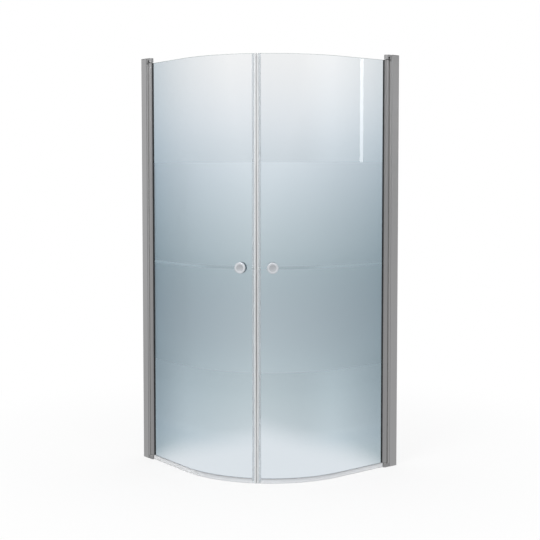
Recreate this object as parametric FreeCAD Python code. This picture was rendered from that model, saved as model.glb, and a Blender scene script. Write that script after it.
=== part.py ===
import FreeCAD, Part
import math
import os

from FreeCAD import Placement, Rotation, Vector

# Corner shower enclosure: two bent glass doors, each hinged on a wall profile of its own, that
# meet at a magnetic closing strip on the diagonal of the corner. Lengths are in millimetres and
# +Z is up. The origin lies on the floor, at the centre of the square that the enclosure closes off.
# The left half is modelled, and the right half is its mirror image across the diagonal.

# Enclosure: side of the square, height, bend of the glass at its outer face, level of its lower edge
SIDE = 900.0
HEIGHT = 2000.0
CORNER_HALF_ANGLE = 45.0
BEND_RADIUS = 520.0
GLASS_THICKNESS = 6.0
GLASS_FLOOR_GAP = 12.0

# Clearances: fixed fits, turning fits, seals on glass, seals near moving faces, overrun of all cuts
FIT_CLEARANCE = 0.05
RUNNING_CLEARANCE = 0.05
SEAL_CLEARANCE = 0.1
SOFT_GAP = 0.3
CUT_OVERRUN = 1.0

# Wall profile: U channel, open towards the door, with a row of wall-screw holes in its back
PROFILE_DEPTH = 28.0
PROFILE_REACH = 45.0
PROFILE_WALL = 1.8
PROFILE_BACK = 2.5
PROFILE_EDGE_ROUND = 1.2
FIXING_HOLE_RADIUS = 2.75
FIXING_END_MARGIN = 160.0
FIXING_HOLE_COUNT = 4

# Cap on the wall profile's top end, with a plug that goes down inside the channel
CAP_THICKNESS = 3.0
CAP_PLUG_LENGTH = 14.0

# Hinge post: box section that slides in the wall profile, with two screw ports on a middle web
POST_CLEARANCE = 0.2
POST_ADJUSTMENT = 9.5
POST_NOSE = 10.5
POST_WALL = 1.8
POST_FRONT_WALL = 4.0
POST_EDGE_ROUND = 1.0
PORT_RADIUS = 4.0
PORT_INSET = 9.0
PORT_WEB = 2.0

# Clamp screws: pan heads inside the cabin, through slots in the channel, into the post's wall
CLAMP_RADIUS = 2.0
CLAMP_HEAD_RADIUS = 5.5
CLAMP_HEAD_HEIGHT = 2.6
CLAMP_HEAD_ROUND = 1.0
CLAMP_LENGTH = 8.0
CLAMP_SLOT_PLAY = 3.0
CLAMP_END_MARGIN = 220.0
CLAMP_COUNT = 3
DRIVE_RADIUS = 1.5
DRIVE_DEPTH = 1.4
DRIVE_SIDES = 6

# Pivot blocks on the post's two ends, their screws and the set screw in the top one
TOP_NOSE_HEIGHT = 21.0
TOP_ROOT_HEIGHT = 32.0
BOTTOM_BLOCK_HEIGHT = 18.0
BLOCK_EDGE_ROUND = 2.0
BLOCK_SCREW_RADIUS = 2.0
BLOCK_SCREW_HEAD_RADIUS = 3.6
BLOCK_SCREW_HEAD_HEIGHT = 3.0
BLOCK_SCREW_SINK = 0.5
BLOCK_SCREW_GRIP = 20.0
SET_SCREW_RADIUS = 5.0
SET_SCREW_LENGTH = 6.0
SET_SCREW_SINK = 0.3
SET_SCREW_SETBACK = 5.2
SET_SCREW_DROP = 15.2

# Pivots: pins in the blocks, flanged bushes in the stile, a thrust washer that carries the door
PIN_RADIUS = 4.0
PIN_SEAT_FLOOR = 4.0
PIN_REACH = 15.0
BUSH_LENGTH = 18.0
BUSH_FLANGE = 2.0
BUSH_FLANGE_INSET = 0.5
THRUST_THICKNESS = 2.0
THRUST_INSET = 1.5
TOP_PLAY = 3.0

# Hinge stile: a barrel round the pivots with two jaws that hold the glass
BARREL_RADIUS = 12.5
BARREL_WALL = 3.5
BARREL_GAP = 1.0
STILE_WEB = 2.5
JAW_DEPTH = 7.5
JAW_WALL = 3.0
JAW_EDGE_ROUND = 1.0

# Glazing gasket between the jaws and the glass, with lips that stand out along the glass
GASKET_WALL = 2.0
GASKET_LIP_REACH = 3.2
GASKET_LIP_WALL = 2.6
GASKET_LIP_ROUND = 1.3

# Hinge seal: strip in a groove on the post's outer side, close to the barrel
HINGE_SEAL_WIDTH = 3.0
HINGE_SEAL_INSET = 2.0
HINGE_SEAL_GROOVE = 2.0

# Bottom sweep: channel clipped on the glass's lower edge, with an outer blade and a drip lip inside
SWEEP_WALL = 1.8
SWEEP_FLOOR = 2.0
SWEEP_GRIP = 12.0
SWEEP_BLADE = 3.0
SWEEP_FLOOR_GAP = 2.0
SWEEP_BLOCK_GAP = 3.0
SWEEP_TOP_GAP = 0.5
SWEEP_STRIP_GAP = 0.5
DRIP_REACH = 8.0
DRIP_DROP = 4.5
DRIP_THICKNESS = 1.6

# Closing strip on the glass's free edge: a closed pocket with a magnet, a web and jaws on the glass
SEAM_GAP = 0.5
STRIP_POCKET_WIDTH = 8.0
STRIP_POCKET_HALF = 5.0
STRIP_POCKET_WALL = 1.4
STRIP_WEB = 2.0
STRIP_GRIP = 10.0
STRIP_JAW_WALL = 1.7

# Knob pair, its stud and its collars
KNOB_HEIGHT = 1000.0
KNOB_SEAM_DISTANCE = 74.0
KNOB_RADIUS = 26.0
KNOB_DEPTH = 12.0
KNOB_FOOT_RADIUS = 11.0
KNOB_FLARE = 5.5
KNOB_FLARE_MID_SHARES = (0.36, 0.68)
KNOB_RIM_WIDTH = 9.0
KNOB_RIM_ROUND = 3.5
KNOB_DISH_DEPTH = 2.2
KNOB_THREAD_DEPTH = 7.0
STUD_RADIUS = 4.0
STUD_END_GAP = 0.5
COLLAR_RADIUS = 12.0
COLLAR_THICKNESS = 1.2
COLLAR_HOLE_PLAY = 0.2
GLASS_HOLE_RADIUS = 7.0

# Places that follow from the sizes. Distances out run from the wall that carries the profile, and
# offsets run from the glass's middle plane, positive towards the outside of the enclosure.
GLASS_HALF = GLASS_THICKNESS / 2
GLASS_LINE = SIDE - PROFILE_DEPTH / 2
BEND_MIDDLE = BEND_RADIUS - GLASS_HALF
BEND_CENTRE = GLASS_LINE - BEND_MIDDLE
PROFILE_HALF = PROFILE_DEPTH / 2
PROFILE_TOP = HEIGHT - CAP_THICKNESS
CHANNEL_HALF = PROFILE_HALF - PROFILE_WALL
POST_HALF = CHANNEL_HALF - POST_CLEARANCE
POST_BACK = PROFILE_BACK + POST_ADJUSTMENT
POST_FRONT = PROFILE_REACH + POST_NOSE
POST_TOP = HEIGHT - TOP_ROOT_HEIGHT
POST_BOTTOM = BOTTOM_BLOCK_HEIGHT
PORT_PLACES = (POST_BACK + PORT_INSET, PROFILE_REACH - PORT_INSET)
CLAMP_OUT = (PORT_PLACES[0] + PORT_PLACES[1]) / 2
HINGE_SEAL_OFFSETS = (POST_HALF - HINGE_SEAL_INSET - HINGE_SEAL_WIDTH, POST_HALF - HINGE_SEAL_INSET)
HINGE_OUT = POST_FRONT + BARREL_GAP + BARREL_RADIUS
BARREL_BORE = BARREL_RADIUS - BARREL_WALL
SLOT_FLOOR = HINGE_OUT + BARREL_BORE + STILE_WEB
SLOT_HALF = GLASS_HALF + GASKET_WALL + FIT_CLEARANCE
JAW_END = SLOT_FLOOR + JAW_DEPTH
JAW_HALF = SLOT_HALF + JAW_WALL
LIP_END = JAW_END + GASKET_LIP_REACH
TOP_NOSE_LOW = HEIGHT - TOP_NOSE_HEIGHT
DOOR_TOP = TOP_NOSE_LOW - TOP_PLAY - BUSH_FLANGE
STILE_BOTTOM = BOTTOM_BLOCK_HEIGHT + THRUST_THICKNESS + BUSH_FLANGE
SET_SCREW_OUT = HINGE_OUT - SET_SCREW_SETBACK
SET_SCREW_LEVEL = HEIGHT - SET_SCREW_DROP
SWEEP_START = HINGE_OUT + POST_HALF + SWEEP_BLOCK_GAP
SWEEP_TOP = GLASS_FLOOR_GAP + SWEEP_GRIP
ABOVE_SWEEP = SWEEP_TOP + SWEEP_TOP_GAP
STRIP_SLOT_START = STRIP_POCKET_WIDTH + STRIP_WEB
STRIP_END = STRIP_SLOT_START + STRIP_GRIP
STRIP_LEVELS = (SWEEP_FLOOR_GAP, DOOR_TOP)
INNER_BEND = BEND_MIDDLE - GLASS_HALF
COLLAR_BOW = INNER_BEND - math.sqrt(INNER_BEND ** 2 - COLLAR_RADIUS ** 2)
COLLAR_SEAT = GLASS_HALF + COLLAR_BOW + FIT_CLEARANCE
KNOB_SEAT = COLLAR_SEAT + COLLAR_THICKNESS

UP = Vector(0, 0, 1)
ALONG_X = Vector(1, 0, 0)
ALONG_Y = Vector(0, 1, 0)


def spot(out, offset, level=0):
    """The point at a distance out from the wall, an offset from the glass plane and a level."""
    return Vector(out - SIDE / 2, SIDE / 2 - GLASS_LINE - offset, level)


def block(out, offset, level):
    """A box between the low and high values of its distance out, offset and level."""
    sizes = [high - low for low, high in (out, offset, level)]
    return Part.makeBox(*sizes, spot(out[0], offset[1], level[0]))


def upright(radius, out, level):
    """A vertical cylinder on the glass plane, between a low and a high level."""
    return Part.makeCylinder(radius, level[1] - level[0], spot(out, 0, level[0]))


def crosswise(radius, out, offset, level):
    """A cylinder square to the glass plane, between a low and a high offset."""
    return Part.makeCylinder(radius, offset[1] - offset[0], spot(out, offset[1], level), ALONG_Y)


def longer(span):
    """A span with the cut's overrun at both ends."""
    return span[0] - CUT_OVERRUN, span[1] + CUT_OVERRUN


def evenly(margin, count):
    """Levels spread evenly over the height, the first and the last one margin from the ends."""
    pitch = (HEIGHT - margin - margin) / (count - 1)
    return [margin + pitch * index for index in range(count)]


def front_rounded(shape, radius, out):
    """The shape with its vertical edges at one distance out from the wall rounded."""
    place = spot(out, 0).x
    edges = []
    for edge in shape.Edges:
        box = edge.BoundBox
        if abs(box.XMin - place) + box.XLength + box.YLength < FIT_CLEARANCE:
            edges.append(edge)
    return shape.makeFillet(radius, edges)


def top_rounded(shape, radius, level):
    """A nose with the edges of its top face rounded, apart from the edge at the wall profile."""
    limit = spot(PROFILE_REACH, 0).x + FIT_CLEARANCE
    edges = []
    for edge in shape.Edges:
        box = edge.BoundBox
        if abs(box.ZMin - level) + box.ZLength < FIT_CLEARANCE and box.XMax > limit:
            edges.append(edge)
    return shape.makeFillet(radius, edges)


def placed(shape, place, direction):
    """A shape built along +Z from the origin, turned to a direction and set at a place."""
    moved = shape.copy()
    moved.Placement = Placement(place, Rotation(UP, direction))
    return moved


def below(radius, length):
    """A cylinder from the origin down along -Z."""
    return Part.makeCylinder(radius, length, -UP * length)


def drive_socket():
    """The hexagon socket of a screw, down from the origin along -Z."""
    corners = []
    for index in range(DRIVE_SIDES + 1):
        turn = math.tau * index / DRIVE_SIDES
        corners.append(Vector(math.cos(turn), math.sin(turn), 0) * DRIVE_RADIUS)
    return Part.Face(Part.makePolygon(corners)).extrude(-UP * DRIVE_DEPTH)


def wall_profile():
    """U channel with its wall-screw holes and the slots for the clamp screws."""
    level = (0, PROFILE_TOP)
    channel = block((0, PROFILE_REACH), (-PROFILE_HALF, PROFILE_HALF), level)
    channel = front_rounded(channel, PROFILE_EDGE_ROUND, PROFILE_REACH)
    hollow = (PROFILE_BACK, PROFILE_REACH + CUT_OVERRUN)
    channel = channel.cut(block(hollow, (-CHANNEL_HALF, CHANNEL_HALF), longer(level)))
    for height in evenly(FIXING_END_MARGIN, FIXING_HOLE_COUNT):
        start = spot(-CUT_OVERRUN, 0, height)
        length = PROFILE_BACK + CUT_OVERRUN + CUT_OVERRUN
        channel = channel.cut(Part.makeCylinder(FIXING_HOLE_RADIUS, length, start, ALONG_X))
    width = CLAMP_RADIUS + POST_CLEARANCE
    across = longer((-PROFILE_HALF, -CHANNEL_HALF))
    ends = (CLAMP_OUT - CLAMP_SLOT_PLAY, CLAMP_OUT + CLAMP_SLOT_PLAY)
    for height in evenly(CLAMP_END_MARGIN, CLAMP_COUNT):
        slot = block(ends, across, (height - width, height + width))
        slot = slot.fuse([crosswise(width, end, across, height) for end in ends])
        channel = channel.cut(slot)
    return channel


def profile_cap():
    """Thin plate on the channel's end, with a plug between the channel's back and the pivot block."""
    plate = block((0, PROFILE_REACH), (-PROFILE_HALF, PROFILE_HALF), (PROFILE_TOP, HEIGHT))
    plate = front_rounded(plate, PROFILE_EDGE_ROUND, PROFILE_REACH)
    plug_out = (PROFILE_BACK + POST_CLEARANCE, POST_BACK - POST_CLEARANCE)
    plug = block(plug_out, (-POST_HALF, POST_HALF), (PROFILE_TOP - CAP_PLUG_LENGTH, PROFILE_TOP))
    return plate.fuse(plug).removeSplitter()


def hinge_post():
    """Box section with its web and screw ports, the seal groove and the clamp-screw holes."""
    level = (POST_BOTTOM, POST_TOP)
    inner = POST_HALF - POST_WALL
    post = block((POST_BACK, POST_FRONT), (-POST_HALF, POST_HALF), level)
    post = front_rounded(post, POST_EDGE_ROUND, POST_FRONT)
    hollow = (POST_BACK + POST_WALL, POST_FRONT - POST_FRONT_WALL)
    post = post.cut(block(hollow, (-inner, inner), longer(level)))
    web = block(hollow, (-PORT_WEB / 2, PORT_WEB / 2), level)
    post = post.fuse([web] + [upright(PORT_RADIUS, out, level) for out in PORT_PLACES]).removeSplitter()
    for out in PORT_PLACES:
        post = post.cut(upright(BLOCK_SCREW_RADIUS + FIT_CLEARANCE, out, longer(level)))
    groove_out = (POST_FRONT - HINGE_SEAL_GROOVE, POST_FRONT + CUT_OVERRUN)
    groove = (HINGE_SEAL_OFFSETS[0] - FIT_CLEARANCE, HINGE_SEAL_OFFSETS[1] + FIT_CLEARANCE)
    post = post.cut(block(groove_out, groove, longer(level)))
    across = longer((-POST_HALF, -inner))
    for height in evenly(CLAMP_END_MARGIN, CLAMP_COUNT):
        post = post.cut(crosswise(CLAMP_RADIUS + FIT_CLEARANCE, CLAMP_OUT, across, height))
    return post


def hinge_seal():
    """Strip that fills the post's groove and stops just short of the barrel."""
    nearest = min(abs(offset) for offset in HINGE_SEAL_OFFSETS)
    tip = HINGE_OUT - math.sqrt((BARREL_RADIUS + SOFT_GAP) ** 2 - nearest ** 2)
    return block((POST_FRONT - HINGE_SEAL_GROOVE, tip), HINGE_SEAL_OFFSETS, (POST_BOTTOM, POST_TOP))


def clamp_screws():
    """Pan-head screws from the cabin side, through the channel, into the post."""
    head = Part.makeCylinder(CLAMP_HEAD_RADIUS, CLAMP_HEAD_HEIGHT)
    rim = [edge for edge in head.Edges if edge.Closed and edge.CenterOfMass.z > CLAMP_HEAD_HEIGHT / 2]
    head = head.makeFillet(CLAMP_HEAD_ROUND, rim)
    socket = placed(drive_socket(), UP * CLAMP_HEAD_HEIGHT, UP)
    screw = head.fuse(below(CLAMP_RADIUS, CLAMP_LENGTH)).cut(socket)
    heights = evenly(CLAMP_END_MARGIN, CLAMP_COUNT)
    return Part.makeCompound([placed(screw, spot(CLAMP_OUT, -PROFILE_HALF, height), ALONG_Y)
                              for height in heights])


def nose(level):
    """The part of a pivot block that reaches over the hinge axis, with a half-round end."""
    reach = block((PROFILE_REACH, HINGE_OUT), (-POST_HALF, POST_HALF), level)
    return reach.fuse(upright(POST_HALF, HINGE_OUT, level)).removeSplitter()


def top_bracket():
    """Block on the post's top end: a root, a tail under the cap and a nose with the pin's seat."""
    body = top_rounded(nose((TOP_NOSE_LOW, HEIGHT)), BLOCK_EDGE_ROUND, HEIGHT)
    root = block((PROFILE_REACH, POST_FRONT), (-POST_HALF, POST_HALF), (POST_TOP, TOP_NOSE_LOW))
    tail = block((POST_BACK, PROFILE_REACH), (-POST_HALF, POST_HALF), (POST_TOP, PROFILE_TOP))
    body = body.fuse([root, tail]).removeSplitter()
    seat = (TOP_NOSE_LOW - CUT_OVERRUN, HEIGHT - PIN_SEAT_FLOOR)
    body = body.cut(upright(PIN_RADIUS + FIT_CLEARANCE, HINGE_OUT, seat))
    for out in PORT_PLACES:
        body = body.cut(block_screw_hole(out, PROFILE_TOP, 1))
    across = (POST_HALF - SET_SCREW_SINK - SET_SCREW_LENGTH, POST_HALF + CUT_OVERRUN)
    return body.cut(crosswise(SET_SCREW_RADIUS + FIT_CLEARANCE, SET_SCREW_OUT, across, SET_SCREW_LEVEL))


def bottom_bracket():
    """Block under the post's lower end, with the bottom pin's seat in its nose."""
    level = (0, BOTTOM_BLOCK_HEIGHT)
    body = top_rounded(nose(level), BLOCK_EDGE_ROUND, BOTTOM_BLOCK_HEIGHT)
    tail = block((POST_BACK, PROFILE_REACH), (-POST_HALF, POST_HALF), level)
    body = body.fuse(tail).removeSplitter()
    seat = (PIN_SEAT_FLOOR, BOTTOM_BLOCK_HEIGHT + CUT_OVERRUN)
    body = body.cut(upright(PIN_RADIUS + FIT_CLEARANCE, HINGE_OUT, seat))
    for out in PORT_PLACES:
        body = body.cut(block_screw_hole(out, 0, -1))
    return body


def block_screw_hole(out, face, side):
    """The stepped hole of a block's screw; side is 1 in a top face and -1 in an under face."""
    depth = BLOCK_SCREW_SINK + BLOCK_SCREW_HEAD_HEIGHT
    head = below(BLOCK_SCREW_HEAD_RADIUS + FIT_CLEARANCE, depth + CUT_OVERRUN)
    shank = below(BLOCK_SCREW_RADIUS + FIT_CLEARANCE, TOP_ROOT_HEIGHT + BOTTOM_BLOCK_HEIGHT)
    return placed(head.fuse(shank), spot(out, 0, face + side * CUT_OVERRUN), UP * side)


def block_screws(face, post_end):
    """The two cheese-head screws that hold a pivot block on an end of the post."""
    side = 1 if face > post_end else -1
    length = abs(face - post_end) - BLOCK_SCREW_SINK + BLOCK_SCREW_GRIP
    head = below(BLOCK_SCREW_HEAD_RADIUS, BLOCK_SCREW_HEAD_HEIGHT)
    screw = head.fuse(below(BLOCK_SCREW_RADIUS, length)).removeSplitter().cut(drive_socket())
    level = face - side * BLOCK_SCREW_SINK
    return Part.makeCompound([placed(screw, spot(out, 0, level), UP * side) for out in PORT_PLACES])


def top_grub_screw():
    """Set screw in the top block's outer face, with a hexagon socket."""
    screw = below(SET_SCREW_RADIUS, SET_SCREW_LENGTH).cut(drive_socket())
    return placed(screw, spot(SET_SCREW_OUT, POST_HALF - SET_SCREW_SINK, SET_SCREW_LEVEL), -ALONG_Y)


def ring(outer, inner, level):
    """A flat ring on the hinge axis."""
    return upright(outer, HINGE_OUT, level).cut(upright(inner, HINGE_OUT, longer(level)))


def bush(end, side):
    """Flanged bush in an end of the stile's barrel; side is 1 at the top and -1 at the bottom."""
    flange_level = sorted((end, end + side * BUSH_FLANGE))
    sleeve_level = sorted((end, end - side * BUSH_LENGTH))
    hole = PIN_RADIUS + RUNNING_CLEARANCE
    flange = ring(BARREL_RADIUS - BUSH_FLANGE_INSET, hole, flange_level)
    return flange.fuse(ring(BARREL_BORE - FIT_CLEARANCE, hole, sleeve_level)).removeSplitter()


def hinge_stile():
    """Barrel round the hinge axis, with two jaws that stop above the sweep and the slot between them."""
    level = (STILE_BOTTOM, DOOR_TOP)
    jaws = block((HINGE_OUT, JAW_END), (-JAW_HALF, JAW_HALF), (ABOVE_SWEEP, DOOR_TOP))
    jaws = front_rounded(jaws, JAW_EDGE_ROUND, JAW_END)
    stile = upright(BARREL_RADIUS, HINGE_OUT, level).fuse(jaws).removeSplitter()
    stile = stile.cut(upright(BARREL_BORE, HINGE_OUT, longer(level)))
    slot_out = (SLOT_FLOOR, JAW_END + CUT_OVERRUN)
    return stile.cut(block(slot_out, (-SLOT_HALF, SLOT_HALF), longer(level)))


def glazing_gasket():
    """Channel in the stile's slot, with two thicker lips outside the jaws."""
    level = (ABOVE_SWEEP, DOOR_TOP)
    half = SLOT_HALF - FIT_CLEARANCE
    face = GLASS_HALF + SEAL_CLEARANCE
    lip_half = GLASS_HALF + GASKET_LIP_WALL
    lips = block((JAW_END, LIP_END), (-lip_half, lip_half), level)
    lips = front_rounded(lips, GASKET_LIP_ROUND, LIP_END)
    gasket = block((SLOT_FLOOR, JAW_END), (-half, half), level).fuse(lips).removeSplitter()
    slot_out = (SLOT_FLOOR + GASKET_WALL, LIP_END + CUT_OVERRUN)
    return gasket.cut(block(slot_out, (-face, face), longer(level)))


def bend_axis(level=0):
    """The point of the bend's vertical axis at a level."""
    return spot(BEND_CENTRE, BEND_CENTRE - GLASS_LINE, level)


def bend_turn(radius, seam_distance):
    """The turn, from the bend's straight end, at a radius and a distance from the seam plane."""
    return math.radians(CORNER_HALF_ANGLE) - math.asin(seam_distance / radius)


def bend_direction(turn):
    """The outward direction at a turn from the bend's straight end."""
    return Vector(math.sin(turn), -math.cos(turn), 0)


def bend_arc(radius, start, end):
    """The arc round the bend's axis at a radius, between two turns."""
    turns = (start, (start + end) / 2, end)
    return Part.Arc(*[bend_axis() + bend_direction(turn) * radius for turn in turns]).toShape()


def curved_plate(half, near, far, level):
    """A plate along the bend: half its thickness, its nearest and furthest distance from the seam
    plane and its levels. It goes on to the bend's straight end where the furthest distance is None."""
    outer = BEND_MIDDLE + half
    inner = BEND_MIDDLE - half
    arcs = []
    for radius in (outer, inner):
        end = 0 if far is None else bend_turn(radius, far)
        arcs.append(bend_arc(radius, bend_turn(radius, near), end))
    ends = [Part.makeLine(arcs[0].Vertexes[index].Point, arcs[1].Vertexes[index].Point) for index in (0, 1)]
    outline = Part.Wire(Part.__sortEdges__(arcs + ends))
    plate = Part.Face(outline).extrude(UP * (level[1] - level[0]))
    plate.translate(UP * level[0])
    return plate


def door_glass():
    """Pane: straight from the stile, then round the bend to the closing strip, with the knob's hole."""
    level = (GLASS_FLOOR_GAP, DOOR_TOP)
    straight_out = (SLOT_FLOOR + GASKET_WALL + SEAL_CLEARANCE, BEND_CENTRE)
    straight = block(straight_out, (-GLASS_HALF, GLASS_HALF), level)
    pane = straight.fuse(curved_plate(GLASS_HALF, STRIP_SLOT_START, None, level)).removeSplitter()
    hole = Part.makeCylinder(GLASS_HOLE_RADIUS, KNOB_SEAT + KNOB_SEAT, -UP * KNOB_SEAT)
    return pane.cut(on_knob_axis(hole, 1))


def bottom_sweep():
    """Seal under the glass: one section, straight from near the block, then round the bend to the strip."""
    slot = GLASS_HALF + SEAL_CLEARANCE
    outer = slot + SWEEP_WALL
    blade = outer - SWEEP_BLADE
    under = GLASS_FLOOR_GAP - SWEEP_FLOOR
    drip_edge = -outer - DRIP_REACH
    drip_level = under - DRIP_DROP
    section = [
        (outer, SWEEP_TOP), (slot, SWEEP_TOP), (slot, GLASS_FLOOR_GAP), (-slot, GLASS_FLOOR_GAP),
        (-slot, SWEEP_TOP), (-outer, SWEEP_TOP), (-outer, under + DRIP_THICKNESS),
        (drip_edge, drip_level + DRIP_THICKNESS), (drip_edge, drip_level), (-outer, under),
        (blade, under), (blade, SWEEP_FLOOR_GAP), (outer, SWEEP_FLOOR_GAP), (outer, SWEEP_TOP),
    ]
    face = Part.Face(Part.makePolygon([spot(BEND_CENTRE, offset, level) for offset, level in section]))
    straight = face.extrude(ALONG_X * (SWEEP_START - BEND_CENTRE))
    turn = bend_turn(BEND_MIDDLE, STRIP_END + SWEEP_STRIP_GAP)
    bent = face.revolve(bend_axis(), UP, math.degrees(turn))
    return straight.fuse(bent).removeSplitter()


def magnet_strip():
    """Closing strip, down to the sweep's lower edge: a pocket at the seam, and two jaws on the glass."""
    slot_half = GLASS_HALF + SEAL_CLEARANCE
    jaws = curved_plate(slot_half + STRIP_JAW_WALL, SEAM_GAP / 2, STRIP_END, STRIP_LEVELS)
    pocket = curved_plate(STRIP_POCKET_HALF, SEAM_GAP / 2, STRIP_POCKET_WIDTH, STRIP_LEVELS)
    strip = jaws.fuse(pocket).removeSplitter()
    slot_start = STRIP_SLOT_START - SEAL_CLEARANCE
    strip = strip.cut(curved_plate(slot_half, slot_start, STRIP_END + CUT_OVERRUN, longer(STRIP_LEVELS)))
    return strip.cut(magnet_bar(0, longer(STRIP_LEVELS)))


def magnet_bar(clearance, level):
    """The space of the closing strip's pocket, drawn in by a clearance."""
    wall = STRIP_POCKET_WALL + clearance
    return curved_plate(STRIP_POCKET_HALF - wall, SEAM_GAP / 2 + wall, STRIP_POCKET_WIDTH - wall, level)


def on_knob_axis(shape, side):
    """A shape built along +Z from the glass's middle, on the knob's axis; side is 1 outside, -1 inside."""
    outward = bend_direction(bend_turn(BEND_MIDDLE, KNOB_SEAM_DISTANCE))
    return placed(shape, bend_axis(KNOB_HEIGHT) + outward * BEND_MIDDLE, outward * side)


def turned_line(start, end):
    """A straight edge of a turned outline, from radius and height pairs."""
    return Part.makeLine(Vector(start[0], 0, start[1]), Vector(end[0], 0, end[1]))


def turned_arc(*places):
    """A round edge of a turned outline, through three radius and height pairs."""
    return Part.Arc(*[Vector(radius, 0, height) for radius, height in places]).toShape()


def knob(side):
    """Turned knob: a narrow foot that flares to a rounded rim, a dished face and a blind thread."""
    flare_top = KNOB_SEAT + KNOB_FLARE
    face = KNOB_SEAT + KNOB_DEPTH
    flare_mid = (KNOB_FOOT_RADIUS + KNOB_FLARE_MID_SHARES[0] * (KNOB_RADIUS - KNOB_FOOT_RADIUS),
                 KNOB_SEAT + KNOB_FLARE_MID_SHARES[1] * KNOB_FLARE)
    rim_radius = KNOB_RADIUS - KNOB_RIM_ROUND
    rim_level = face - KNOB_RIM_ROUND
    slant = KNOB_RIM_ROUND / math.sqrt(2)
    dish = KNOB_RADIUS - KNOB_RIM_WIDTH
    dish_low = face - KNOB_DISH_DEPTH
    dish_round = (dish ** 2 + KNOB_DISH_DEPTH ** 2) / (KNOB_DISH_DEPTH + KNOB_DISH_DEPTH)
    dish_turn = math.asin(dish / dish_round) / 2
    dish_mid = (dish_round * math.sin(dish_turn), dish_low + dish_round * (1 - math.cos(dish_turn)))
    edges = [
        turned_line((0, KNOB_SEAT), (KNOB_FOOT_RADIUS, KNOB_SEAT)),
        turned_arc((KNOB_FOOT_RADIUS, KNOB_SEAT), flare_mid, (KNOB_RADIUS, flare_top)),
        turned_line((KNOB_RADIUS, flare_top), (KNOB_RADIUS, rim_level)),
        turned_arc((KNOB_RADIUS, rim_level), (rim_radius + slant, rim_level + slant), (rim_radius, face)),
        turned_line((rim_radius, face), (dish, face)),
        turned_arc((dish, face), dish_mid, (0, dish_low)),
        turned_line((0, dish_low), (0, KNOB_SEAT)),
    ]
    body = Part.Face(Part.Wire(edges)).revolve(Vector(0, 0, 0), UP, math.degrees(math.tau))
    thread = Part.makeCylinder(STUD_RADIUS + FIT_CLEARANCE, KNOB_SEAT + KNOB_THREAD_DEPTH)
    return on_knob_axis(body.cut(thread), side)


def knob_stud():
    """Threaded stud through the glass, into both knobs."""
    half = KNOB_SEAT + KNOB_THREAD_DEPTH - STUD_END_GAP
    return on_knob_axis(Part.makeCylinder(STUD_RADIUS, half + half, -UP * half), 1)


def knob_washers():
    """Two collars, each a disc under a knob with a spigot that goes into the glass's hole."""
    disc = Part.makeCylinder(COLLAR_RADIUS, COLLAR_THICKNESS, UP * COLLAR_SEAT)
    spigot_radius = GLASS_HOLE_RADIUS - COLLAR_HOLE_PLAY
    spigot = Part.makeCylinder(spigot_radius, COLLAR_SEAT - COLLAR_HOLE_PLAY, UP * COLLAR_HOLE_PLAY)
    hole = Part.makeCylinder(STUD_RADIUS + FIT_CLEARANCE, KNOB_SEAT + CUT_OVERRUN)
    collar = disc.fuse(spigot).removeSplitter().cut(hole)
    return Part.makeCompound([on_knob_axis(collar, side) for side in (1, -1)])


thrust_level = (BOTTOM_BLOCK_HEIGHT, BOTTOM_BLOCK_HEIGHT + THRUST_THICKNESS)
pieces = {
    "wall_profile": wall_profile(),
    "profile_cap": profile_cap(),
    "hinge_post": hinge_post(),
    "hinge_seal": hinge_seal(),
    "clamp_screws": clamp_screws(),
    "top_bracket": top_bracket(),
    "top_bracket_screws": block_screws(PROFILE_TOP, POST_TOP),
    "top_grub_screw": top_grub_screw(),
    "top_pivot_pin": upright(PIN_RADIUS, HINGE_OUT, (DOOR_TOP - PIN_REACH, HEIGHT - PIN_SEAT_FLOOR)),
    "bottom_bracket": bottom_bracket(),
    "bottom_bracket_screws": block_screws(0, POST_BOTTOM),
    "bottom_pivot_pin": upright(PIN_RADIUS, HINGE_OUT, (PIN_SEAT_FLOOR, STILE_BOTTOM + PIN_REACH)),
    "thrust_washer": ring(BARREL_RADIUS - THRUST_INSET, PIN_RADIUS + FIT_CLEARANCE, thrust_level),
    "top_bush": bush(DOOR_TOP, 1),
    "bottom_bush": bush(STILE_BOTTOM, -1),
    "hinge_stile": hinge_stile(),
    "glazing_gasket": glazing_gasket(),
    "door_glass": door_glass(),
    "bottom_sweep": bottom_sweep(),
    "magnet_strip": magnet_strip(),
    "magnet_core": magnet_bar(SEAL_CLEARANCE, STRIP_LEVELS),
    "outer_knob": knob(1),
    "inner_knob": knob(-1),
    "knob_stud": knob_stud(),
    "knob_washers": knob_washers(),
}

os.makedirs("parts", exist_ok=True)
for name, shape in pieces.items():
    shape.exportStep(f"parts/left_{name}.step")
    shape.mirror(Vector(0, 0, 0), ALONG_X + ALONG_Y).exportStep(f"parts/right_{name}.step")
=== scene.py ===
import math

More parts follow.
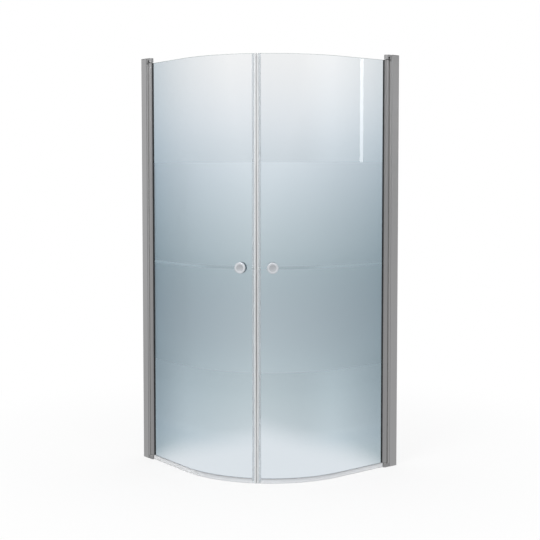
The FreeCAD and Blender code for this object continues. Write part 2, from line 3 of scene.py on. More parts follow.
import bpy
import numpy as np
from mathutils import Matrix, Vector


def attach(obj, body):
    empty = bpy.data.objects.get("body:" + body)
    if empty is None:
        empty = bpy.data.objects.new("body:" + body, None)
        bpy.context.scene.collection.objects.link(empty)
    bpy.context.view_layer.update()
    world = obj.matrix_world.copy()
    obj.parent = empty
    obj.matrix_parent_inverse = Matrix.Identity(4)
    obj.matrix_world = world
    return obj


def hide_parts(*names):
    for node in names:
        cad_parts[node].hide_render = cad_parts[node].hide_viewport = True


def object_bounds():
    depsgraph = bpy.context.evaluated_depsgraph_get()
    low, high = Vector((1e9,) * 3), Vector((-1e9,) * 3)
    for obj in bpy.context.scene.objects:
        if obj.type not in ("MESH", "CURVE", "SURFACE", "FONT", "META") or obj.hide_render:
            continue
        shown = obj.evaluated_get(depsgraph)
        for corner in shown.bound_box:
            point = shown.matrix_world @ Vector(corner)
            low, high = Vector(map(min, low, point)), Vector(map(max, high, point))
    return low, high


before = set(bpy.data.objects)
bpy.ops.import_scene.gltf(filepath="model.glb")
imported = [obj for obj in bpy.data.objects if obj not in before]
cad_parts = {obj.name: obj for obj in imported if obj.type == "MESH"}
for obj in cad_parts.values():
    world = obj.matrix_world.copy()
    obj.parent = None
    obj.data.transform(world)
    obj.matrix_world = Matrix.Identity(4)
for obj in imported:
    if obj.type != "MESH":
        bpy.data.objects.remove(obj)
cad_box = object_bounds()


# Wall profiles and hinge posts: aluminium extrusions with a satin silver anodised skin, which shows long
# upright drawing lines. The profile is fixed by screws through its back, and the post slides in it.
class Tone:
    """A socket of a finish: sums and products with other tones and numbers add Math nodes."""

    def __init__(self, tree, socket=None):
        self.tree = tree
        self.socket = socket

    def node(self, kind, settings=None, inputs=None, output=0):
        """A new node of a kind, its settings set before its inputs, which are values or tones."""
        made = self.tree.nodes.new("ShaderNode" + kind)
        for name, value in (settings or {}).items():
            if name == "stops":
                made.color_ramp.interpolation = "CARDINAL"
                while len(made.color_ramp.elements) < len(value):
                    made.color_ramp.elements.new(1.0)
                for element, (position, colour) in zip(made.color_ramp.elements, value):
                    element.position = position
                    element.color = (*colour, 1.0)
            else:
                setattr(made, name, value)
        for name, value in (inputs or {}).items():
            if isinstance(value, Tone):
                self.tree.links.new(value.socket, made.inputs[name])
            else:
                made.inputs[name].default_value = value
        return Tone(self.tree, made.outputs[output] if made.outputs else None)

    def other(self, output):
        """Another output of the same node."""
        return Tone(self.tree, self.socket.node.outputs[output])

    def math(self, operation, first, second):
        """A Math node on two numbers or tones."""
        return self.node("Math", {"operation": operation}, {0: first, 1: second})

    def __add__(self, other):
        return self.math("ADD", self, other)

    def __sub__(self, other):
        return self.math("SUBTRACT", self, other)

    def __rsub__(self, other):
        return self.math("SUBTRACT", other, self)

    def __mul__(self, other):
        return self.math("MULTIPLY", self, other)

    __radd__ = __add__
    __rmul__ = __mul__


def finish(name, paint):
    """A material with the surface that paint returns for an empty node tree, the bench."""
    made = bpy.data.materials.new(name)
    made.use_nodes = True
    made.node_tree.nodes.clear()
    bench = Tone(made.node_tree)
    bench.node("OutputMaterial", None, {"Surface": paint(bench)})
    return made


def on_piece(bench):
    """The Object coordinates, which are places on the part in metres."""
    return bench.node("TexCoord", None, None, "Object")


def noise(bench, scale, detail=2.0):
    """Noise on Object coordinates, with a scale per metre along each axis."""
    place = bench.node("Mapping", None, {"Vector": on_piece(bench), "Scale": scale})
    return bench.node("TexNoise", None, {"Vector": place, "Scale": 1.0, "Detail": detail})


def between(share, low, high):
    """The colour at a share of the way from a low to a high colour."""
    return share.node("Mix", {"data_type": "RGBA"}, {0: share, 6: (*low, 1.0), 7: (*high, 1.0)}, 2)


def relief(height, strength, depth):
    """The normal of a surface that a height from 0 to 1 raises by a depth in metres."""
    return height.node("Bump", None, {"Strength": strength, "Distance": depth, "Height": height})


def dress(material, *pieces, halves=("left", "right")):
    """Gives CAD nodes of both halves, or of one, a finish."""
    for piece in pieces:
        for half in halves:
            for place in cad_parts[f"{half}_{piece}"].material_slots:
                place.material = material


def satin_anodised(low, high):
    """Drawing lines along the extrusion, and slow clouds of the anodising over them."""
    def paint(bench):
        drawing = noise(bench, (900.0, 900.0, 2.0), 4.0)
        clouds = noise(bench, (5.0, 5.0, 1.5))
        return bench.node("BsdfPrincipled", None, {
            "Base Color": between(0.7 * drawing + 0.3 * clouds, low, high),
            "Metallic": 1.0,
            "Roughness": 0.27 + 0.12 * drawing,
            "Normal": relief(drawing, 0.15, 0.0002),
        })
    return paint


silver = satin_anodised((0.46, 0.46, 0.465), (0.60, 0.60, 0.605))
dress(finish("anodised_aluminium", silver), "wall_profile", "hinge_post")


# Caps on the wall profiles: thin plates with a plug, moulded in grey plastic with a fine spark
# texture, and pressed into the end of the channel.
def moulded_grey(bench):
    """The grain of a spark-eroded mould, which also roughens the gloss."""
    grain = noise(bench, (2600.0, 2600.0, 2600.0), 3.0)
    return bench.node("BsdfPrincipled", None, {
        "Base Color": between(grain, (0.13, 0.13, 0.135), (0.19, 0.19, 0.195)),
        "Roughness": 0.42 + 0.2 * grain,
        "Normal": relief(grain, 0.25, 0.0001),
    })


dress(finish("grey_plastic", moulded_grey), "profile_cap")


# Pivot blocks: die-cast zinc, tumbled and coated in satin silver. Each is screwed to an end of the
# post and holds a pin that the door turns on.
def coated_casting(bench):
    """The casting's pores, softened by the coat."""
    pores = noise(bench, (700.0, 700.0, 700.0), 4.0)
    return bench.node("BsdfPrincipled", None, {
        "Base Color": between(pores, (0.33, 0.33, 0.335), (0.44, 0.44, 0.445)),
        "Metallic": 0.85,
        "Roughness": 0.34 + 0.16 * pores,
        "Normal": relief(pores, 0.2, 0.0002),
    })


dress(finish("pivot_block_metal", coated_casting), "top_bracket", "bottom_bracket")


# Screws, studs and pins: turned steel. The screws and studs are stainless, the pins are ground bright
# and the set screw in the top block is blackened.
def turned_steel(low, high, roughness):
    """Close lines across the piece, as a lathe's tool leaves them."""
    def paint(bench):
        turning = noise(bench, (300.0, 300.0, 4200.0))
        return bench.node("BsdfPrincipled", None, {
            "Base Color": between(turning, low, high),
            "Metallic": 1.0,
            "Roughness": roughness + 0.15 * turning,
            "Normal": relief(turning, 0.2, 0.0001),
        })
    return paint


stainless = turned_steel((0.55, 0.56, 0.57), (0.72, 0.73, 0.74), roughness=0.22)
ground = turned_steel((0.60, 0.60, 0.60), (0.78, 0.78, 0.78), roughness=0.12)
blackened = turned_steel((0.006, 0.006, 0.007), (0.016, 0.016, 0.017), roughness=0.4)
dress(finish("screw_steel", stainless),
      "clamp_screws", "top_bracket_screws", "bottom_bracket_screws", "knob_stud")
dress(finish("pin_steel", ground), "top_pivot_pin", "bottom_pivot_pin")
dress(finish("black_steel", blackened), "top_grub_screw")


# Bearings: flanged bushes of black plastic in the stile's ends, and a white nylon washer that takes
# the door's weight on the bottom block.
def moulded_bearing(low, high):
    """A fine even grain, smoother where it is dark."""
    def paint(bench):
        grain = noise(bench, (1800.0, 1800.0, 1800.0), 3.0)
        return bench.node("BsdfPrincipled", None, {
            "Base Color": between(grain, low, high),
            "Roughness": 0.4 + 0.2 * grain,
        })
    return paint


black_plastic = moulded_bearing((0.012, 0.012, 0.013), (0.028, 0.028, 0.03))
white_nylon = moulded_bearing((0.62, 0.61, 0.58), (0.74, 0.73, 0.70))
dress(finish("black_plastic", black_plastic), "top_bush", "bottom_bush")
dress(finish("white_nylon", white_nylon), "thrust_washer")


# Hinge stiles: anodised aluminium, a little darker, a barrel round the hinge axis with jaws for the
# glass. Black rubber channels hold the glass in the jaws, and a grey strip in the post seals the barrel.
def extruded_rubber(low, high):
    """Fine streaks along the strip, as the die leaves them."""
    def paint(bench):
        streaks = noise(bench, (1500.0, 1500.0, 6.0), 3.0)
        return bench.node("BsdfPrincipled", None, {
            "Base Color": between(streaks, low, high),
            "Roughness": 0.45 + 0.25 * streaks,
            "Normal": relief(streaks, 0.2, 0.0001),
        })
    return paint


dark_silver = satin_anodised((0.38, 0.38, 0.385), (0.51, 0.51, 0.515))
black_rubber = extruded_rubber((0.024, 0.025, 0.026), (0.050, 0.053, 0.055))
grey_rubber = extruded_rubber((0.24, 0.24, 0.235), (0.32, 0.32, 0.31))
dress(finish("stile_aluminium", dark_silver), "hinge_stile")
dress(finish("black_rubber", black_rubber), "glazing_gasket")
dress(finish("grey_rubber", grey_rubber), "hinge_seal")


# Door glass: 6 mm toughened panes, straight from the stile and then bent to the seam, etched satin in
# a wide band outside, which a clear line through the knobs splits. The edges are ground, and show green.
# The panes' grey-blue colour is a faint tint with painted shade and light over it, and the floor's light is
# painted in at the foot.
BEND_AXIS = np.array([-0.081, 0.081])
BEND_MIDDLE = 0.517
SEAM_TURN = math.pi / 4
BEND_STEPS = 61


def facing(turn):
    """The direction out of the bend in plan at a turn t, which is (sin t, -cos t)."""
    return np.stack([np.sin(turn), -np.cos(turn)], axis=-1)


def turn_at(distance, radius):
    """The turn of a point on a radius at a distance from the seam plane: 45 degrees less
    asin(distance / radius)."""
    return SEAM_TURN - np.arcsin(distance / radius)


def door_line(along):
    """Plan points of a left door's middle line and the directions out of it. The distance along
    counts from the start of the bend, and the turn is t = max(along, 0) / radius, so the point is
    axis + radius * (sin t, -cos t) + (min(along, 0), 0) and the direction is (sin t, -cos t)."""
    outward = facing(np.maximum(along, 0.0) / BEND_MIDDLE)
    straight = np.stack([np.minimum(along, 0.0), np.zeros_like(along)], axis=-1)
    return BEND_AXIS + BEND_MIDDLE * outward + straight, outward


def stations(start, seam_gap, straight_steps):
    """Distances along the door's line: even steps from a start to the bend, then even steps round
    the bend to a gap from the seam plane."""
    end = BEND_MIDDLE * turn_at(seam_gap, BEND_MIDDLE)
    straight = np.linspace(start, 0.0, straight_steps)[:-1]
    return np.concatenate([straight, np.linspace(0.0, end, BEND_STEPS)])


def eased(corners, reach, steps):
    """A closed outline with each corner eased by corner + reach * ((1 - t)^2 * to previous +
    t^2 * to next), with t from 0 to 1 and one reach or one a corner. Two steps give a flat."""
    before = np.roll(corners, 1, axis=0) - corners
    after = np.roll(corners, -1, axis=0) - corners
    before = before / np.linalg.norm(before, axis=1, keepdims=True)
    after = after / np.linalg.norm(after, axis=1, keepdims=True)
    t = np.linspace(0.0, 1.0, steps)[None, :, None]
    reach = np.broadcast_to(reach, len(corners))[:, None, None]
    curve = corners[:, None] + reach * ((1 - t) ** 2 * before[:, None] + t ** 2 * after[:, None])
    return curve.reshape(-1, 2)


def carried(along, section):
    """A closed section of offsets and levels carried along the door's line: each point is
    line(along) + offset * outward at its level."""
    line, outward = door_line(along)
    plan = line[:, None] + section[None, :, :1] * outward[:, None]
    level = np.broadcast_to(section[None, :, 1:], (*plan.shape[:2], 1))
    return np.concatenate([plan, level], axis=2)


def solid(name, grid, half, crease):
    """A closed mesh round a grid of points whose columns close on themselves, with a face on each
    end. The right half is the left one with x, y turned to -y, -x, and its faces turned over.
    Edges sharper than the crease, in degrees, stay sharp."""
    rows, columns = grid.shape[:2]
    number = np.arange(rows * columns).reshape(rows, columns)
    ring = np.roll(number, -1, axis=1)
    quads = np.stack([number[:-1], number[1:], ring[1:], ring[:-1]], axis=-1).reshape(-1, 4)
    points = grid.reshape(-1, 3)
    ends = [number[0], number[-1, ::-1]]
    if half == "right":
        points = points[:, [1, 0, 2]] * (-1.0, -1.0, 1.0)
        quads = quads[:, ::-1]
        ends = [end[::-1] for end in ends]
    mesh = bpy.data.meshes.new(name)
    mesh.from_pydata(points.tolist(), [], quads.tolist() + [end.tolist() for end in ends])
    mesh.polygons.foreach_set("use_smooth", np.ones(len(mesh.polygons), dtype=bool))
    mesh.set_sharp_from_angle(angle=math.radians(crease))
    made = bpy.data.objects.new(name, mesh)
    bpy.context.scene.collection.objects.link(made)
    return made


GLASS_HALF = 0.003
GLASS_FOOT = 0.012
GLASS_TOP = 1.974
GROUND_FLAT = 0.0012
PANE_START = -0.2864
PANE_SEAM_GAP = 0.010
pane_corners = np.array([
    (GLASS_HALF, GLASS_FOOT), (GLASS_HALF, GLASS_TOP), (-GLASS_HALF, GLASS_TOP), (-GLASS_HALF, GLASS_FOOT)])
pane_section = eased(pane_corners, GROUND_FLAT, steps=2)
pane_along = stations(PANE_START, PANE_SEAM_GAP, straight_steps=9)
width_shares = (pane_along - pane_along[0]) / np.ptp(pane_along)
pane_shares = np.stack(np.meshgrid(width_shares, pane_section[:, 1] / GLASS_TOP, indexing="ij"), axis=-1)

KNOB_LEVEL = 1.0
SATIN_HALF = 0.484
CLEAR_LINE_HALF = 0.006
ETCHING_EDGE = 0.0005
# Height, seam and foot colours of the panes: a faint tint with painted shade and light, darkest at mid-height
# and by the hinge, lighter at the top and the seam, and with the floor's light painted in at the foot.
HEIGHT_TINTS_AND_SHADES = (
    (0.0, (0.90, 0.98, 1.0)), (0.08, (0.74, 0.84, 0.90)), (0.12, (0.68, 0.775, 0.83)),
    (0.22, (0.515, 0.61, 0.66)), (0.38, (0.41, 0.49, 0.54)), (0.55, (0.47, 0.56, 0.61)),
    (0.80, (0.73, 0.80, 0.86)), (1.0, (0.95, 0.97, 0.99)),
)
SEAM_PAINTED_LIGHT = (1.02, 1.01, 1.0)
FLOOR_GLOW_TINT = (0.78, 0.84, 0.89, 1.0)


def step(value, start, end, low=0.0, high=1.0):
    """A tone that goes smoothly from low to high while a value goes from start to end."""
    return value.node("MapRange", {"interpolation_type": "SMOOTHSTEP"}, {
        "Value": value, "From Min": start, "From Max": end, "To Min": low, "To Max": high})


def scaled(colour, share):
    """A colour times a share."""
    return colour.node("VectorMath", {"operation": "SCALE"}, {0: colour, "Scale": share})


def level_on(bench):
    """The height above the part's foot, in metres."""
    return bench.node("SeparateXYZ", None, {0: on_piece(bench)}, "Z")


def from_knobs(bench, distance, inside, outside):
    """A value that changes at a distance above and below the knobs, by the square of the distance."""
    level = level_on(bench) - KNOB_LEVEL
    near, far = (distance - ETCHING_EDGE) ** 2, (distance + ETCHING_EDGE) ** 2
    return step(level * level, near, far, inside, outside)


def pane_tint_and_painted_light(hinge_tint_and_shade, head_light_share, plain_painted_lift, floor_glow_rise, etched):
    """Glass with a faint grey-blue tint on shares of width and height, over which painted shade and light
    lie:
    darker at the hinge, at mid-height and low by the hinge, lighter towards the top and the seam, with the
    floor's light painted in at the foot. The etched band is rough on one face. The plain glass past it, and
    the clear line in it, get painted shade and light of their own at the hinge and by the seam."""
    def paint(bench):
        width = bench.node("SeparateXYZ", None, {0: bench.node("UVMap", {"uv_map": "pane"})})
        height = width.other("Y")
        # Painted shade and light by height: darkest at mid-height, lightest at the top and the foot.
        tint_and_shade = bench.node("ValToRGB", {"stops": HEIGHT_TINTS_AND_SHADES}, {"Fac": height})
        # Painted light towards the top and painted shade low down, which move the colour towards the seam's
        # or the hinge's.
        head_light = step(height, 0.55, 1.0, 0.0, head_light_share) + step(height, 0.12, 0.30, -0.10, 0.0)
        across = between(width.math("POWER", width, 0.8) + head_light, hinge_tint_and_shade, SEAM_PAINTED_LIGHT)
        line = from_knobs(bench, CLEAR_LINE_HALF, 1.0, 0.0)
        # Painted shade in the clear line towards the seam, and painted light at the seam.
        line_painted_lift = step(width, 0.50, 0.72, 0.02, -0.14) + step(width, 0.86, 0.92, 0.0, 0.12)
        plain = from_knobs(bench, SATIN_HALF, 0.0, 1.0)
        # The plain glass past the band gets painted shade towards the seam, as the clear line does.
        painted_lift = line * line_painted_lift + plain * step(width, 0.45, 0.75, *plain_painted_lift)
        # Painted shade low down by the hinge.
        painted_shade = step(height, 0.22, 0.34, 1.0, 0.0) * step(width, 0.0, 0.5, -0.13, 0.02)
        colour = bench.node("VectorMath", {"operation": "MULTIPLY"}, {0: tint_and_shade, 1: across})
        colour = scaled(colour, 1 + painted_lift + painted_shade)
        # The floor's light painted in at the foot, in an arch that rises towards the seam.
        floor_glow_arch = floor_glow_rise * width.math("POWER", width, 0.7)
        floor_glow = step(height - floor_glow_arch, -0.05, 0.03, 1.0, 0.0)
        grain = noise(bench, (2200.0, 2200.0, 2200.0))
        return bench.node("BsdfPrincipled", None, {
            "Base Color": bench.node("Mix", {"data_type": "RGBA"}, {0: floor_glow, 6: colour, 7: FLOOR_GLOW_TINT}, 2),
            "Roughness": (1 - line - plain) * (0.3 + 0.1 * grain) if etched else 0.0,
            "IOR": 1.5,
            "Transmission Weight": 1.0,
        })
    return paint


def polished_edge(bench):
    """Green glass with the ripple of the grinding belt."""
    ripple = noise(bench, (220.0, 220.0, 4.0), 3.0)
    return bench.node("BsdfPrincipled", None, {
        "Base Color": between(ripple, (0.18, 0.26, 0.24), (0.30, 0.39, 0.37)),
        "Roughness": 0.12 + 0.15 * ripple,
        "IOR": 1.5,
        "Transmission Weight": 0.5,
    })


ETCHED, SMOOTH, GROUND = range(3)
OUTER_SIDE = 1
INNER_SIDE = 5
pane_faces = np.full((len(pane_along) - 1, len(pane_section)), GROUND)
pane_faces[:, OUTER_SIDE] = ETCHED
pane_faces[:, INNER_SIDE] = SMOOTH
pane_edge = finish("pane_edge", polished_edge)
# For each half: the hinge colour, the head's painted light, the plain glass's painted shade and the rise of
# the floor's painted light.
for half, *tint_and_shade in (
        ("left", (0.52, 0.60, 0.65), 0.14, (-0.07, -0.08), 0.119),
        ("right", (0.585, 0.637, 0.665), 0.28, (0.0, -0.10), 0.141)):
    pane = solid(f"{half}_bent_pane", carried(pane_along, pane_section), half, crease=20)
    corner = np.zeros(len(pane.data.loops), dtype=int)
    pane.data.loops.foreach_get("vertex_index", corner)
    pane_map = pane.data.uv_layers.new(name="pane")
    pane_map.data.foreach_set("uv", pane_shares.reshape(-1, 2)[corner].ravel())
    pane.data.materials.append(finish(f"{half}_etched_face", pane_tint_and_painted_light(*tint_and_shade, etched=True)))
    pane.data.materials.append(finish(f"{half}_smooth_face", pane_tint_and_painted_light(*tint_and_shade, etched=False)))
    pane.data.materials.append(pane_edge)
    pane.data.polygons.foreach_set("material_index", np.append(pane_faces, [GROUND, GROUND]))
    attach(pane, f"{half}_door")
    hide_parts(f"{half}_door_glass")


# Bottom sweeps: clear soft vinyl, extruded, bent and clipped on the pane's lower edge. The outer blade
# hangs down to 2 mm from the ground and a drip lip inside sends the water back.
MM_PER_METRE = 1000
SWEEP_START = -0.285
SWEEP_SEAM_GAP = 0.0205
SWEEP_EASING = 0.0005
# Levels where the painted shade at the sweep's grip and hem comes in.
GRIP_SHADE_LEVELS = (0.018, 0.022)
HEM_SHADE_LEVELS = (0.0035, 0.007)
sweep_outline = np.array([
    (4.9, 24.0), (3.1, 24.0), (3.1, 12.0), (-3.1, 12.0), (-3.1, 24.0), (-4.9, 24.0), (-4.9, 11.6),
    (-12.9, 7.1), (-12.9, 5.5), (-4.9, 10.0), (1.9, 10.0), (1.9, 2.0), (4.9, 2.0),
])[::-1] / MM_PER_METRE
sweep_section = eased(sweep_outline, SWEEP_EASING, steps=4)
sweep_along = stations(SWEEP_START, SWEEP_SEAM_GAP, straight_steps=7)


def soft_vinyl(bench):
    """Flow lines along the sweep, with painted shade at its grip on the glass and in its hem by the floor."""
    flow = noise(bench, (40.0, 40.0, 900.0))
    level = level_on(bench)
    # Painted shade: darker at the grip on the glass and in the hem by the floor.
    painted_shade = step(level, *GRIP_SHADE_LEVELS, 1.0, 0.7) * step(level, *HEM_SHADE_LEVELS, 0.85, 1.0)
    colour = between(flow, (0.86, 0.88, 0.905), (0.94, 0.955, 0.975))
    return bench.node("BsdfPrincipled", None, {
        "Base Color": scaled(colour, painted_shade),
        "Roughness": 0.22 + 0.2 * flow,
        "IOR": 1.35,
        "Transmission Weight": 0.4,
    })


sweep_vinyl = finish("sweep_vinyl", soft_vinyl)
for half in ("left", "right"):
    sweep = solid(f"{half}_drip_sweep", carried(sweep_along, sweep_section), half, crease=35)
    sweep.data.materials.append(sweep_vinyl)
    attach(sweep, f"{half}_door")
    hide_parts(f"{half}_bottom_sweep")


# Closing strips: vinyl of two grades extruded together, pushed on the pane's free edge. The jaws are
# clear, and the milky pocket at the seam holds a magnet bar and has round shoulders, which leave a groove.
STRIP_FOOT = 0.0018
STRIP_TOP = 1.9742
STRIP_STEPS = 9
JAW_START = 0.0085
# How far from the seam plane the painted shade line of the groove reaches, and the pocket's painted shade by
# height.
SEAM_SHADE_ENDS = (0.0012, 0.003)
POCKET_PAINTED_SHADES = ((0.0, 1.0), (0.10, 0.98), (0.24, 0.85), (0.40, 0.80), (0.58, 0.85), (0.80, 0.98), (1.0, 1.0))
strip_outline = np.array([
    (0.25, 5.0), (8.0, 5.0), (8.0, 4.8), (20.0, 4.8), (20.0, 3.1), (9.9, 3.1),
    (9.9, -3.1), (20.0, -3.1), (20.0, -4.8), (8.0, -4.8), (8.0, -5.0), (0.25, -5.0),
]) / MM_PER_METRE
strip_reach = np.array([2.4, 0.05, 0.05, 0.8, 0.4, 0.2, 0.2, 0.4, 0.8, 0.05, 0.05, 2.4]) / MM_PER_METRE
strip_section = eased(strip_outline, strip_reach, steps=6)
strip_levels = np.linspace(STRIP_FOOT, STRIP_TOP, STRIP_STEPS)


def raised(section, levels):
    """A closed section of seam distances and offsets carried up through levels. A point's radius is
    r = bend radius + offset and its turn is 45 degrees - asin(distance / r), so that the seam's face
    is flat, and its place is axis + r * (sin turn, -cos turn)."""
    radius = BEND_MIDDLE + section[:, 1]
    grid = np.zeros((len(levels), len(section), 3))
    grid[:, :, :2] = BEND_AXIS + radius[:, None] * facing(turn_at(section[:, 0], radius))
    grid[:, :, 2] = levels[:, None]
    return grid


def milky_pocket(bench):
    """Vinyl with faint lines along it, with painted shade that is greyest at mid-height, and a painted shade
    line within 3 mm of the seam plane, x + y = 0, where the groove between the strips falls dark."""
    flow = noise(bench, (700.0, 700.0, 1.5))
    painted_greys = [(share, (tone, tone, tone)) for share, tone in POCKET_PAINTED_SHADES]
    # Painted shade by height, greyest at mid-height.
    depth = bench.node("ValToRGB", {"stops": painted_greys}, {"Fac": level_on(bench) * (1 / GLASS_TOP)})
    across = bench.node("VectorMath", {"operation": "DOT_PRODUCT"}, {
        0: on_piece(bench), 1: (math.sqrt(0.5), math.sqrt(0.5), 0.0)}, "Value")
    near, far = (distance ** 2 for distance in SEAM_SHADE_ENDS)
    # Painted shade line along the groove at the seam.
    painted_shade = step(across * across, near, far, depth - 0.35, 1.0)
    colour = between(flow, (0.94, 0.955, 0.975), (0.98, 0.99, 1.0))
    return bench.node("BsdfPrincipled", None, {
        "Base Color": scaled(colour, depth * painted_shade),
        "Roughness": 0.1 + 0.1 * flow,
        "IOR": 1.35,
        "Transmission Weight": 0.35,
    })


def clear_jaws(bench):
    """Glossy vinyl with faint lines along it."""
    flow = noise(bench, (700.0, 700.0, 1.5))
    return bench.node("BsdfPrincipled", None, {
        "Base Color": between(flow, (0.88, 0.91, 0.93), (0.94, 0.96, 0.98)),
        "Roughness": 0.03 + 0.05 * flow,
        "IOR": 1.35,
        "Transmission Weight": 0.75,
    })


def bound_magnet(bench):
    """Magnet powder bound in pale plastic, with a dull grain."""
    grain = noise(bench, (1200.0, 1200.0, 300.0), 3.0)
    return bench.node("BsdfPrincipled", None, {
        "Base Color": between(grain, (0.70, 0.71, 0.72), (0.82, 0.83, 0.84)),
        "Roughness": 0.5 + 0.2 * grain,
    })


MILKY, CLEAR = range(2)
side_middles = (strip_section[:, 0] + np.roll(strip_section[:, 0], -1)) / 2
strip_sides = np.where(side_middles > JAW_START, CLEAR, MILKY)
strip_faces = np.append(np.tile(strip_sides, len(strip_levels) - 1), [MILKY, MILKY])
milky_vinyl = finish("milky_vinyl", milky_pocket)
clear_vinyl = finish("clear_vinyl", clear_jaws)
for half in ("left", "right"):
    strip = solid(f"{half}_closing_strip", raised(strip_section, strip_levels), half, crease=35)
    strip.data.materials.append(milky_vinyl)
    strip.data.materials.append(clear_vinyl)
    strip.data.polygons.foreach_set("material_index", strip_faces)
    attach(strip, f"{half}_door")
    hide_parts(f"{half}_magnet_strip")
dress(finish("magnet", bound_magnet), "magnet_core")


# Knobs: turned brass with satin chrome plating, one on each side of the pane on a common stud, with
# clear plastic collars against the glass. The rim is polished smoother than the turned dish; its lighter
# colour is a painted reflection and the dish's darker colour is painted shade.
KNOB_FROM_SEAM = 0.074
DISH_RADIUS = 0.0155
RIM_RADIUS = 0.0175
AXIS_SQUASH = 1e6


def satin_chrome(turn):
    """Rings round the knobs' axis, which passes through the bend's axis at a turn from the left door.
    The place along that axis is squashed to nothing, so what is left is the radius."""
    def paint(bench):
        place = bench.node("Mapping", {"vector_type": "TEXTURE"}, {
            "Vector": on_piece(bench),
            "Location": (*BEND_AXIS, KNOB_LEVEL),
            "Rotation": (math.pi / 2, 0.0, turn),
            "Scale": (1.0, 1.0, AXIS_SQUASH),
        })
        radius = bench.node("VectorMath", {"operation": "LENGTH"}, {0: place}, "Value")
        rim = step(radius, DISH_RADIUS, RIM_RADIUS)
        turning = bench.node("TexNoise", {"noise_dimensions": "1D"}, {
            "W": radius, "Scale": 2400.0, "Detail": 2.0})
        # Painted reflection on the rim and painted shade in the dish, with the turning lines as grain.
        sheen_and_turning = 0.75 * rim + 0.25 * turning
        return bench.node("BsdfPrincipled", None, {
            "Base Color": between(sheen_and_turning, (0.50, 0.52, 0.545), (0.80, 0.83, 0.87)),
            "Metallic": 0.6,
            "Roughness": 0.46 - 0.1 * rim + 0.06 * turning,
            "Normal": relief(turning, 0.1, 0.0001),
        })
    return paint


def clear_collar(bench):
    """Clear plastic with slow clouds in it."""
    flow = noise(bench, (300.0, 300.0, 300.0))
    return bench.node("BsdfPrincipled", None, {
        "Base Color": between(flow, (0.78, 0.81, 0.82), (0.88, 0.90, 0.91)),
        "Roughness": 0.15 + 0.15 * flow,
        "IOR": 1.45,
        "Transmission Weight": 0.8,
    })


knob_turn = turn_at(KNOB_FROM_SEAM, BEND_MIDDLE)
for half, turn in (("left", knob_turn), ("right", math.pi / 2 - knob_turn)):
    chrome = finish(f"{half}_chrome", satin_chrome(turn))
    dress(chrome, "outer_knob", "inner_knob", halves=(half,))
dress(finish("clear_collar", clear_collar), "knob_washers")


# Floor: a plain pale sheet under the object. It fades to white away from the object, so that no edge
# shows, and keeps the object's soft shadow.
WHITE = (1.0, 1.0, 1.0, 1.0)
FLOOR_HALF = 9.0
FLOOR_LEVEL = -0.0005
FADE_ENDS = (0.5, 2.4)


def pale_floor(bench):
    """White to direct and transmitted rays, more so away from the middle, and matt to the others,
    apart from mirrored rays, which see an even glow."""
    away = bench.node("VectorMath", {"operation": "LENGTH"}, {0: on_piece(bench)}, "Value")
    fade = step(away, *FADE_ENDS, 0.8, 1.0)
    rays = bench.node("LightPath", None, None, "Is Camera Ray")
    seen = rays.math("MAXIMUM", rays, rays.other("Is Transmission Ray"))
    lit = bench.node("BsdfDiffuse", None, {"Color": (0.86, 0.86, 0.86, 1.0)})
    mirrored = bench.node("Emission", None, {"Color": WHITE, "Strength": 0.6})
    lit = bench.node("MixShader", None, {0: rays.other("Is Glossy Ray"), 1: lit, 2: mirrored})
    white = bench.node("Emission", None, {"Color": WHITE, "Strength": 1.0})
    return bench.node("MixShader", None, {0: seen * fade, 1: lit, 2: white})


floor_plan = FLOOR_HALF * np.array([(-1, -1), (1, -1), (1, 1), (-1, 1)])
floor_mesh = bpy.data.meshes.new("floor")
floor_mesh.from_pydata([(*corner, FLOOR_LEVEL) for corner in floor_plan.tolist()], [], [(0, 1, 2, 3)])
floor_mesh.materials.append(finish("pale_floor", pale_floor))
floor = bpy.data.objects.new("floor", floor_mesh)
bpy.context.scene.collection.objects.link(floor)


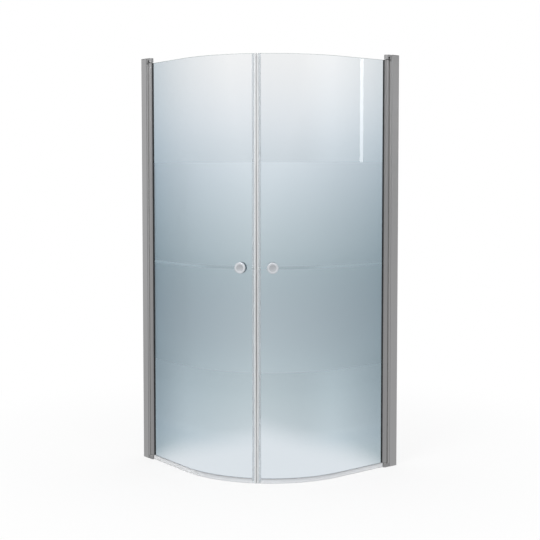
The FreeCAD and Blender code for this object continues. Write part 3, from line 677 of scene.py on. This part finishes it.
# Backdrop: white all round, as seen directly and through the glass. Reflections see it dimmed on the
# side that the object is looked at from, and rough surfaces take an even, softer light from it.
FRONT = (0.98, 0.17, 0.0)
studio = bpy.data.worlds.new("studio")
studio.use_nodes = True
studio.node_tree.nodes.clear()
bpy.context.scene.world = studio
bench = Tone(studio.node_tree)
direction = bench.node("TexCoord", None, None, "Generated")
towards_front = bench.node("VectorMath", {"operation": "DOT_PRODUCT"}, {0: direction, 1: FRONT}, "Value")
dim = step(towards_front, -0.1, 0.9)
white, pale, grey, even = [
    bench.node("Background", None, {"Color": WHITE, "Strength": strength})
    for strength in (1.0, 0.7, 0.5, 0.6)]
rays = bench.node("LightPath", None, None, "Is Camera Ray")
mirrored = bench.node("MixShader", None, {0: dim, 1: pale, 2: grey})
around = bench.node("MixShader", None, {0: rays.other("Is Glossy Ray"), 1: even, 2: mirrored})
seen = rays.math("MAXIMUM", rays, rays.other("Is Transmission Ray"))
background = bench.node("MixShader", None, {0: seen, 1: around, 2: white})
bench.node("OutputWorld", None, {"Surface": background})


# Lamps: a large soft key on the left, a weaker fill on the right and a soft one overhead, all above
# what the glass mirrors. A narrow strip far to the right draws a bright line on the right pane.
def softbox(name, place, aim, width, height, power):
    """A lamp at a place, turned to an aim. Reflections show it, but it isn't seen itself or through glass."""
    lamp = bpy.data.lights.new(name, "AREA")
    lamp.shape = "RECTANGLE"
    lamp.size = width
    lamp.size_y = height
    lamp.energy = power
    made = bpy.data.objects.new(name, lamp)
    made.location = place
    made.rotation_euler = (aim - made.location).to_track_quat("-Z", "Y").to_euler()
    made.visible_camera = False
    made.visible_transmission = False
    bpy.context.scene.collection.objects.link(made)


middle = (cad_box[0] + cad_box[1]) / 2
line_on_pane = Vector((0.439, 0.217, 1.895))
softbox("key", (1.6, -4.0, 4.3), middle, width=2.2, height=2.2, power=90.0)
softbox("fill", (4.6, 0.4, 4.0), middle, width=2.0, height=2.0, power=45.0)
softbox("overhead", (0.0, 0.0, 4.6), middle, width=3.0, height=3.0, power=50.0)
softbox("strip", (2.65, 2.238, 1.895), line_on_pane, width=0.025, height=0.81, power=0.30)


# Camera: at eye height in front of the corner, a little right of the diagonal, with a long lens and
# its frame shifted down a little.
CAMERA_TILT = 3.247
CAMERA_HEADING = 52.505
view = bpy.data.cameras.new("camera")
view.lens = 70.715
view.sensor_width = 36.0
view.shift_y = -0.06
camera = bpy.data.objects.new("camera", view)
camera.location = (4.1575, -3.1782, 1.4135)
camera.rotation_euler = (math.radians(90 - CAMERA_TILT), 0.0, math.radians(CAMERA_HEADING))
bpy.context.scene.collection.objects.link(camera)
bpy.context.scene.camera = camera
bpy.context.scene.view_settings.view_transform = "Standard"
